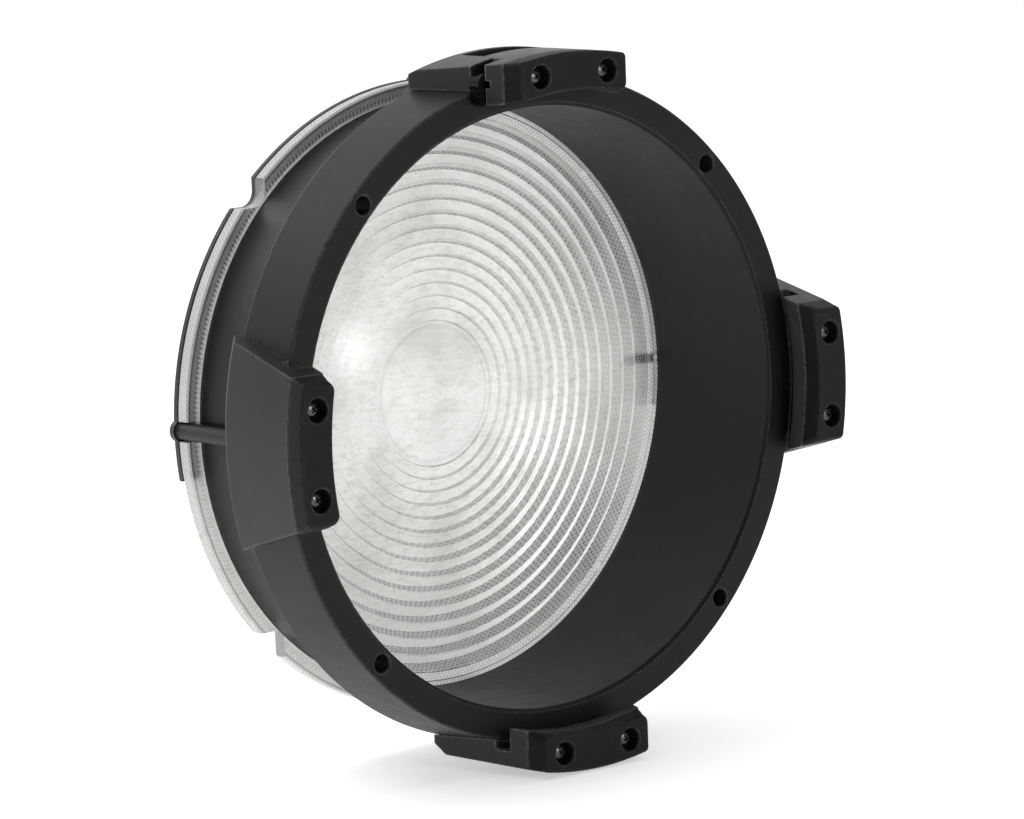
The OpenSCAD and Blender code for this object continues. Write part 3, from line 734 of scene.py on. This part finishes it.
def bumper_body():
    rings = []
    e = 0.9
    stations = [(BUMP_Z, 0.22), (BUMP_Z + 0.08, 0.08), (BUMP_Z + 0.25, 0.0)]
    stations += [(BUMP_Z + 0.25 + (FRONT_Z - e - BUMP_Z - 0.25) * k / 3, 0.0) for k in (1, 2)]
    stations += [(FRONT_Z - e + e * math.sin(math.radians(a)), e * (1 - math.cos(math.radians(a)))) for a in (0, 18, 36, 54, 72, 90)]
    for z, d in stations:
        u = min(1.0, max(0.0, (z - BUMP_Z) / (FRONT_Z - 1.2 - BUMP_Z)))
        u = u * u * (3 - 2 * u)
        rr, rq = max(0.45, 0.5 + 1.0 * u - d), max(0.6, 0.9 + 1.7 * u - d)
        rings.append([(x, y, z) for x, y in outline(hw(z) - 0.03 - d, CLIP_R - 0.02 - d, LIP_R + 0.02 + d, rr, rq)])
    cuts = []
    for s in (-1, 1):
        n = 64
        x, y = s * SCREW_X, SCREW_Y
        prof = [(0.001, FRONT_Z - 3.8), (RECESS_R - 0.35, FRONT_Z - 3.8), (RECESS_R - 0.08, FRONT_Z - 3.55), (RECESS_R, FRONT_Z - 3.2), (RECESS_R, FRONT_Z - 0.6),
                (RECESS_R + 0.08, FRONT_Z - 0.3), (RECESS_R + 0.25, FRONT_Z - 0.1), (RECESS_R + 0.5, FRONT_Z + 0.02), (RECESS_R + 0.5, FRONT_Z + 1), (0.001, FRONT_Z + 1)]
        c = revolve(prof, n)
        bmesh.ops.remove_doubles(c, verts=c.verts, dist=0.005)
        bmesh.ops.translate(c, verts=c.verts, vec=(x, y, 0))
        cuts.append(c)
        cuts.append(rod(x, y, BUMP_Z - 1, FRONT_Z - 3, 1.65, 32))
    return solid(loft(rings), cuts=cuts)


# ------------------------------------------------------------------ screws
def screw(head_r, head_h, shank_r, length, washer=False):
    rim = head_h * 0.18
    prof = [(0.001, -length + 0.02), (shank_r - 0.35, -length + 0.02), (shank_r - 0.05, -length + 0.5), (shank_r - 0.05, -0.02),
            (head_r - 0.12, -0.0), (head_r, 0.1), (head_r, rim)]
    for k in range(1, 10):
        f = math.radians(90 * k / 10)
        prof.append((head_r * math.cos(f), rim + (head_h - rim) * math.sin(f)))
    prof.append((0.001, head_h))
    b = revolve(prof, 48)
    bmesh.ops.remove_doubles(b, verts=b.verts, dist=0.004)
    cuts = []
    for a in (0, 90):
        w, d = head_r * 0.44, head_r * 0.11
        top = [(-w, -d, head_h + 0.3), (w, -d, head_h + 0.3), (w, d, head_h + 0.3), (-w, d, head_h + 0.3)]
        bot = [(-w * 0.3, -d * 0.6, head_h * 0.45), (w * 0.3, -d * 0.6, head_h * 0.45), (w * 0.3, d * 0.6, head_h * 0.45), (-w * 0.3, d * 0.6, head_h * 0.45)]
        cuts.append(spin(loft([bot, top]), a))
    return solid(b, cuts=cuts)


def moved(b, x=0, y=0, z=0, flip=False, turn=0):
    if turn:
        spin(b, turn)
    if flip:
        bmesh.ops.rotate(b, verts=b.verts, cent=(0, 0, 0), matrix=Matrix.Rotation(math.pi, 3, "X"))
    bmesh.ops.translate(b, verts=b.verts, vec=(x, y, z))
    return b


for name, deg in (("top", 0), ("right", -90), ("bottom", 180), ("left", 90)):
    piece(name + "_bumper_pad", spin(bumper_body(), deg), bumper_m, [name + "_bumper"])
    for i, s in enumerate((-1, 1)):
        piece(f"{name}_bumper_screw_{i + 1}", spin(moved(screw(2.75, 2.0, 1.5, 7.2), s * SCREW_X, SCREW_Y, FRONT_Z - 3.8, turn=23 + 31 * i + deg), deg),
              screw_m, [name + "_bumper_screws"])
        piece(f"{name}_clip_screw_{i + 1}", spin(moved(screw(2.4, 1.8, 1.25, 12), s * 9.5, 92.6, 6.7, flip=True, turn=11 + 40 * i), deg),
              steel_m, [name + "_clip_screws"])

for i, deg in enumerate((-90, 0, 90)):
    piece(f"ring_screw_{i + 1}", spin(moved(screw(2.3, 1.6, 1.1, 11), 0, POST, LENS_B - 1.8, flip=True, turn=17 * i), deg), screw_m, ["retaining_ring_screws"])
piece("tab_screw", spin(moved(screw(2.3, 1.6, 1.1, 11), 0, POST, LENS_B - 1.8, flip=True, turn=52), 180), screw_m, ["lower_tab_screw"])

# ------------------------------------------------------------------ lens retainers
def keeper(a0, a1, ears, notches):
    z0, z1 = LENS_B - 1.8, LENS_B
    prof = rounded([(87.4, z0), (92.8, z0), (92.8, z1), (87.4, z1)], 0.25)
    b = revolve(prof, int((a1 - a0) * 0.8), a0, a1)
    adds = [spin(rod(0, POST, z0 - 0.0, z1, 3.3, 48), a) for a in ears]
    cuts = [corner_notch(-1, 1, True), corner_notch(1, 1, True)] if notches else []
    cuts += [spin(rod(0, POST, z0 - 2, z1 + 2, 1.4, 24), a) for a in ears]
    return solid(b, adds=adds, cuts=cuts)


piece("retaining_ring", keeper(-9, 189, (-90, 0, 90), True), retainer_m, ["lens_retaining_ring"])
piece("lower_tab", keeper(262, 278, (180,), False), retainer_m, ["lower_lens_tab"])

# ------------------------------------------------------------------ latch spring, built as a fixed coil; on the real adapter it winds up as the latch opens
def coil_wire(wire=0.19, mean=1.37, top=GROOVE_Z - 0.25, pitch=0.62, turns=TURNS, per=28, sides=10):
    path = [Vector((-LATCH_X - mean, LATCH_Y, GROOVE_Z + 1.2)), Vector((-LATCH_X - mean, LATCH_Y, GROOVE_Z + 0.2))]
    for i in range(int(turns * per) + 1):
        q = 2 * math.pi * i / per
        path.append(Vector((-LATCH_X - mean * math.cos(q), LATCH_Y - mean * math.sin(q), top - pitch * i / per)))
    rings = []
    for i, p in enumerate(path):
        d = (path[min(i + 1, len(path) - 1)] - path[max(i - 1, 0)]).normalized()
        u = Vector((p.x + LATCH_X, p.y - LATCH_Y, 0)).normalized()
        u = (u - u.dot(d) * d).normalized()
        w = d.cross(u)
        rings.append([tuple(p + wire * (math.cos(2 * math.pi * j / sides) * u + math.sin(2 * math.pi * j / sides) * w)) for j in range(sides)])
    return loft(rings)


coil = piece("latch_coil", coil_wire(), spring_m, ["latch_spring"], body=None, angle=50, weighted=False)
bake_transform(coil)

# ------------------------------------------------------------------ nodes whose CAD shape is shown as it is
for n, m in (("lens_gasket", gasket_m), ("accessory_latch", latch_m), ("latch_pin", spring_m)):
    o = NODES[n]
    o.data.materials.clear()
    o.data.materials.append(m)

# ------------------------------------------------------------------ stage, light and camera
def stage_mat(name, v):
    M = Mat(name)
    n = M.noise(9, 3)
    M.l(M.mix(M.map(n, 0.3, 0.7, 0, 1), (v, v, v), (v * 0.985, v * 0.985, v * 0.985)), M.p.inputs["Base Color"])
    M.set(Roughness=0.9)
    M.p.inputs["Specular IOR Level"].default_value = 0.1
    M.p.inputs["Emission Color"].default_value = (1, 1, 1, 1)
    M.p.inputs["Emission Strength"].default_value = 0.47
    return M.m


fb = bmesh.new()
bmesh.ops.create_circle(fb, cap_ends=True, segments=96, radius=6.0)
fme = bpy.data.meshes.new("floor")
fb.to_mesh(fme)
fb.free()
floor = bpy.data.objects.new("floor", fme)
scene.collection.objects.link(floor)
floor.location = (0, 0, -0.1036)
fme.materials.append(stage_mat("floor_pale", 0.86))

world = bpy.data.worlds.new("studio")
scene.world = world
world.use_nodes = True
wt = world.node_tree
bg = wt.nodes["Background"]
geo = wt.nodes.new("ShaderNodeTexCoord")
dot = wt.nodes.new("ShaderNodeVectorMath")
dot.operation = "DOT_PRODUCT"
dot.inputs[1].default_value = (0.45, 0.85, 0.36)
mr = wt.nodes.new("ShaderNodeMapRange")
mr.interpolation_type = "SMOOTHSTEP"
for k, q in zip(("From Min", "From Max", "To Min", "To Max"), (-0.30, 0.65, 0.235, 1.0)):
    mr.inputs[k].default_value = q
wt.links.new(geo.outputs["Generated"], dot.inputs[0])
wt.links.new(dot.outputs["Value"], mr.inputs["Value"])
wt.links.new(mr.outputs["Result"], bg.inputs["Strength"])
bg.inputs[0].default_value = (1, 1, 1, 1)


def area(name, loc, target, size, power, size_y=None):
    d = bpy.data.lights.new(name, "AREA")
    d.energy, d.size = power, size
    if size_y:
        d.shape, d.size_y = "RECTANGLE", size_y
    o = bpy.data.objects.new(name, d)
    scene.collection.objects.link(o)
    o.location = loc
    o.rotation_mode = "QUATERNION"
    o.rotation_quaternion = (Vector(target) - Vector(loc)).to_track_quat("-Z", "Y")
    return o


area("key", (-1.0, 0.45, 1.8), (0, 0, 0), 0.9, 13)
area("front", (0.10, -1.6, 0.32), (0, 0, 0), 0.40, 6)
area("back", (0.10, 1.8, 0.30), (0, 0, 0), 1.6, 15)

cd = bpy.data.cameras.new("camera")
cam = bpy.data.objects.new("camera", cd)
scene.collection.objects.link(cam)
R = Vector((0.7596971, -0.64925078, -0.03652041))
U = Vector((0.12031192, 0.08514287, 0.98907822))
B = Vector((-0.63905036, -0.7557937, 0.14279539))
cam.matrix_world = Matrix(((R.x, U.x, B.x, -0.948794), (R.y, U.y, B.y, -1.126772), (R.z, U.z, B.z, 0.210288), (0, 0, 0, 1)))
cd.sensor_width, cd.lens = 36.0, 180.325
cd.clip_start, cd.clip_end = 0.01, 50
scene.camera = cam

scene.view_settings.view_transform = "Standard"
scene.view_settings.look = "None"
